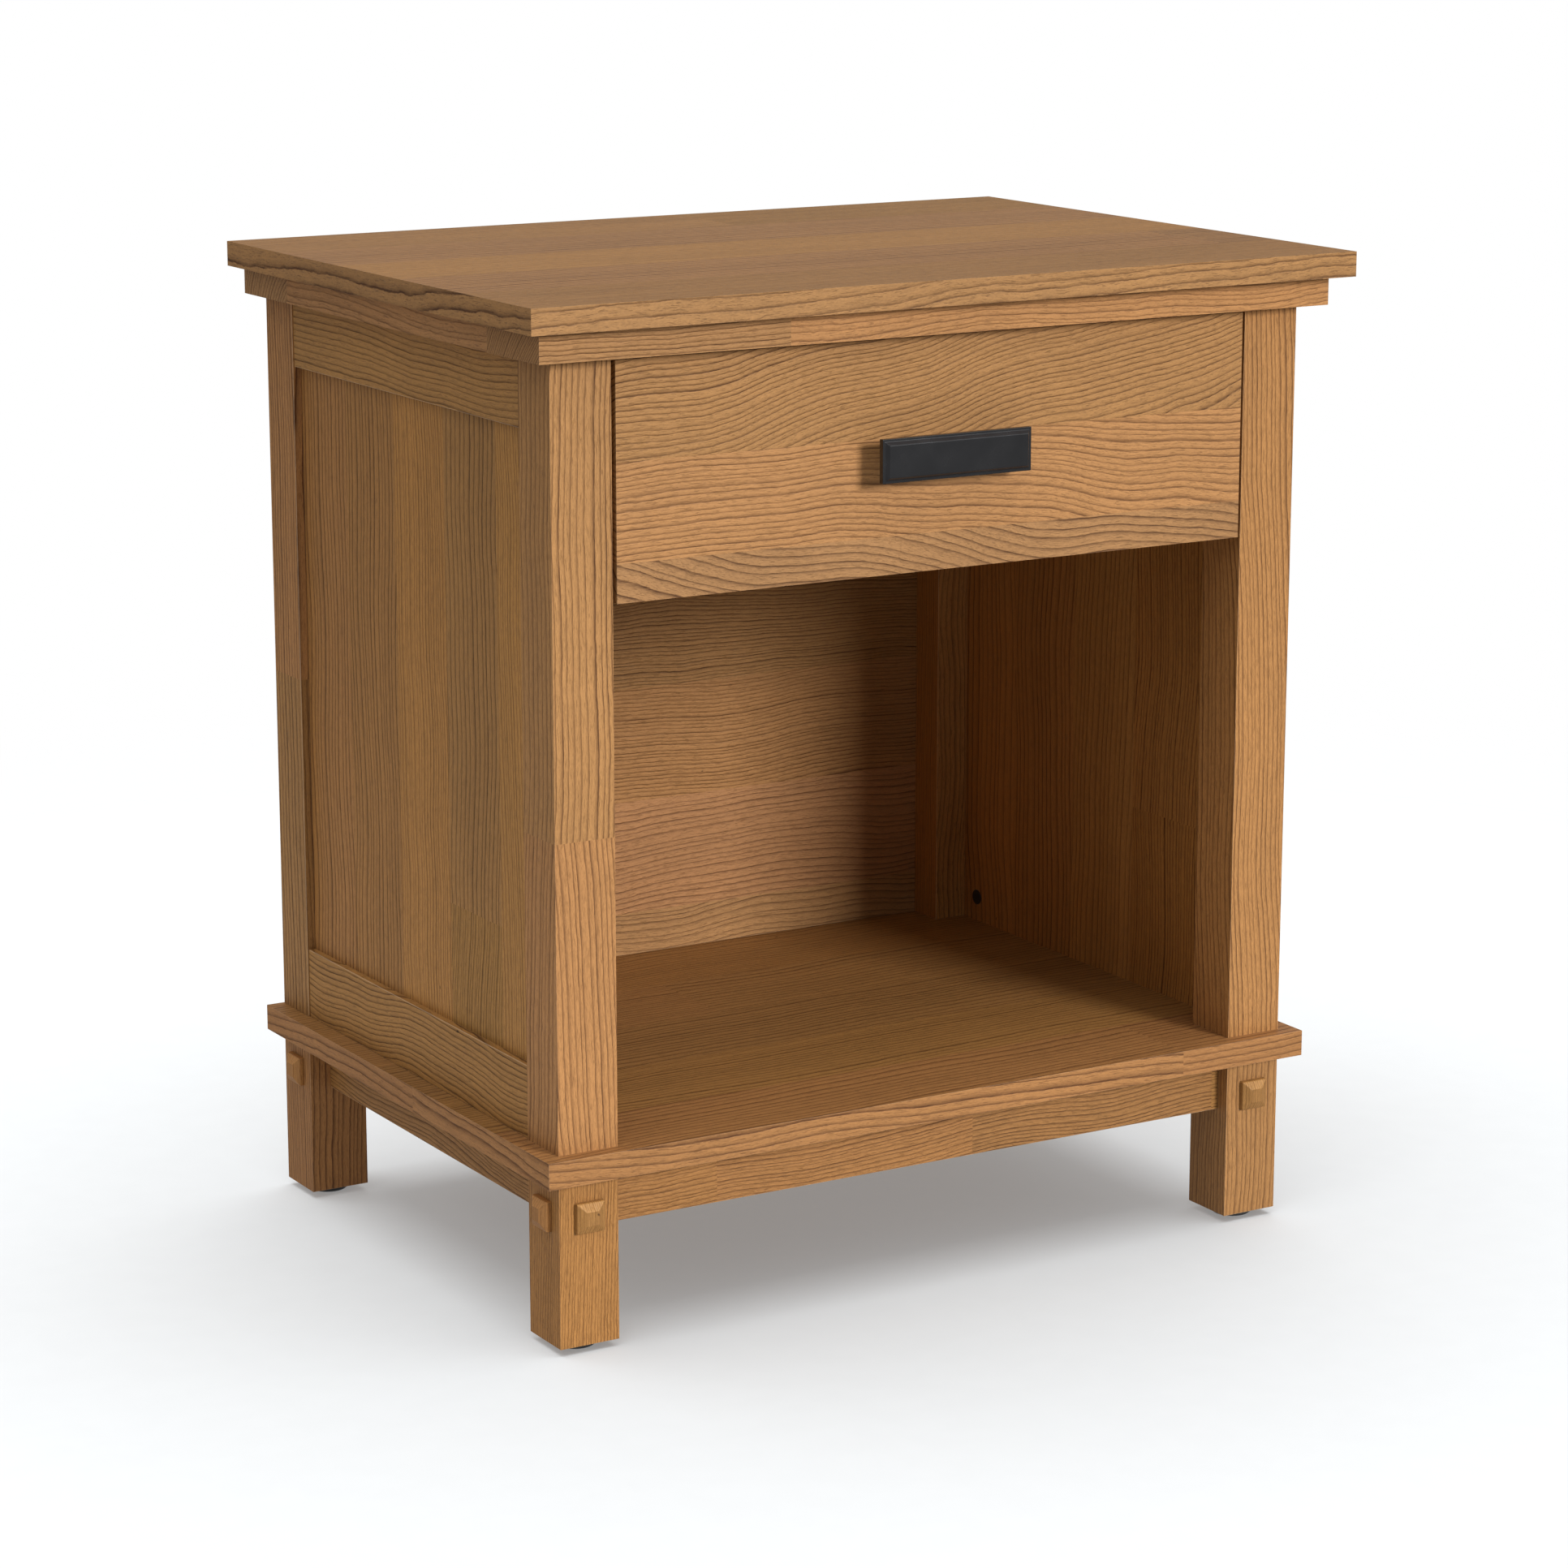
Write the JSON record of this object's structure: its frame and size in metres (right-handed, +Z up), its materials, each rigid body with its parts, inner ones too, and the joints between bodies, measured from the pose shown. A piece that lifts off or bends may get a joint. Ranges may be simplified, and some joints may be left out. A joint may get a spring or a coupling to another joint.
{
  "type": "nightstand",
  "caption": "Free-standing wooden nightstand with a full-width drawer on telescopic slides above an open shelf bay, on square legs with pegged joints.",
  "frame": {"origin": "on the floor, at the middle of the footprint of the top (centre of the bounding box bottom)", "axes": "+Z up, +X to the right seen from the front, +Y to the back; the drawer pulls out along -Y"},
  "size_m": [0.61, 0.439, 0.6657],
  "materials": {
    "honey_wood": "satin clear-coated open-pored wood, golden honey colour with dark grain lines",
    "pale_wood": "unstained satin-sealed secondary wood",
    "black_metal": "satin black",
    "black_plastic": "matt black moulded plastic",
    "zinc_steel": "bright zinc-plated steel"
  },
  "bodies": {
    "cabinet": {"top_panel": "honey_wood", "top_frame_front": "honey_wood", "top_frame_rear": "honey_wood", "top_frame_left": "honey_wood", "top_frame_right": "honey_wood", "post_front_left": "honey_wood", "post_front_right": "honey_wood", "post_rear_left": "honey_wood", "post_rear_right": "honey_wood", "side_panel_left": "honey_wood", "side_panel_right": "honey_wood", "side_rail_upper_left": "honey_wood", "side_rail_upper_right": "honey_wood", "side_rail_lower_left": "honey_wood", "side_rail_lower_right": "honey_wood", "back_panel": "honey_wood", "lower_shelf": "honey_wood", "leg_front_left": "honey_wood", "leg_front_right": "honey_wood", "leg_rear_left": "honey_wood", "leg_rear_right": "honey_wood", "apron_front": "honey_wood", "apron_rear": "honey_wood", "apron_left": "honey_wood", "apron_right": "honey_wood", "corner_blocks": "pale_wood", "base_screws": "zinc_steel", "pegs_front": "honey_wood", "pegs_left": "honey_wood", "pegs_right": "honey_wood", "leg_glides": "black_plastic", "post_dowels_lower": "pale_wood", "post_dowels_upper": "pale_wood", "top_screws": "zinc_steel", "panel_caps": "black_plastic", "slide_cleat_left": "pale_wood", "slide_cleat_right": "pale_wood", "slide_outer_left": "zinc_steel", "slide_outer_right": "zinc_steel", "cleat_screws": "zinc_steel"},
    "drawer": {"slide_inner_left": "zinc_steel", "slide_inner_right": "zinc_steel", "drawer_slide_screws": "zinc_steel", "drawer_front": "honey_wood", "drawer_box_front": "pale_wood", "drawer_side_left": "pale_wood", "drawer_side_right": "pale_wood", "drawer_back": "pale_wood", "drawer_bottom": "pale_wood", "drawer_front_screws": "zinc_steel", "drawer_pull": "black_metal", "pull_screws": "zinc_steel"},
    "slide_middle_left_body": {"slide_middle_left": "zinc_steel"},
    "ball_cage_outer_left_body": {"ball_cage_outer_left": "zinc_steel"},
    "ball_cage_inner_left_body": {"ball_cage_inner_left": "zinc_steel"},
    "slide_middle_right_body": {"slide_middle_right": "zinc_steel"},
    "ball_cage_outer_right_body": {"ball_cage_outer_right": "zinc_steel"},
    "ball_cage_inner_right_body": {"ball_cage_inner_right": "zinc_steel"}
  },
  "joints": [
    {"name": "drawer_slide", "type": "slide", "parent": "cabinet", "child": "drawer", "axis": [0, -1, 0], "range_m": [0, 0.35]},
    {"name": "slide_middle_left_travel", "type": "slide", "parent": "cabinet", "child": "slide_middle_left_body", "axis": [0, -1, 0], "range_m": [0, 0.175]},
    {"name": "ball_cage_outer_left_travel", "type": "slide", "parent": "cabinet", "child": "ball_cage_outer_left_body", "axis": [0, -1, 0], "range_m": [0, 0.0875]},
    {"name": "ball_cage_inner_left_travel", "type": "slide", "parent": "cabinet", "child": "ball_cage_inner_left_body", "axis": [0, -1, 0], "range_m": [0, 0.2625]},
    {"name": "slide_middle_right_travel", "type": "slide", "parent": "cabinet", "child": "slide_middle_right_body", "axis": [0, -1, 0], "range_m": [0, 0.175]},
    {"name": "ball_cage_outer_right_travel", "type": "slide", "parent": "cabinet", "child": "ball_cage_outer_right_body", "axis": [0, -1, 0], "range_m": [0, 0.0875]},
    {"name": "ball_cage_inner_right_travel", "type": "slide", "parent": "cabinet", "child": "ball_cage_inner_right_body", "axis": [0, -1, 0], "range_m": [0, 0.2625]}
  ],
  "couplings": [
    {"joint": "slide_middle_left_travel", "follows": "drawer_slide", "ratio": 0.5},
    {"joint": "ball_cage_outer_left_travel", "follows": "drawer_slide", "ratio": 0.25},
    {"joint": "ball_cage_inner_left_travel", "follows": "drawer_slide", "ratio": 0.75},
    {"joint": "slide_middle_right_travel", "follows": "drawer_slide", "ratio": 0.5},
    {"joint": "ball_cage_outer_right_travel", "follows": "drawer_slide", "ratio": 0.25},
    {"joint": "ball_cage_inner_right_travel", "follows": "drawer_slide", "ratio": 0.75}
  ]
}
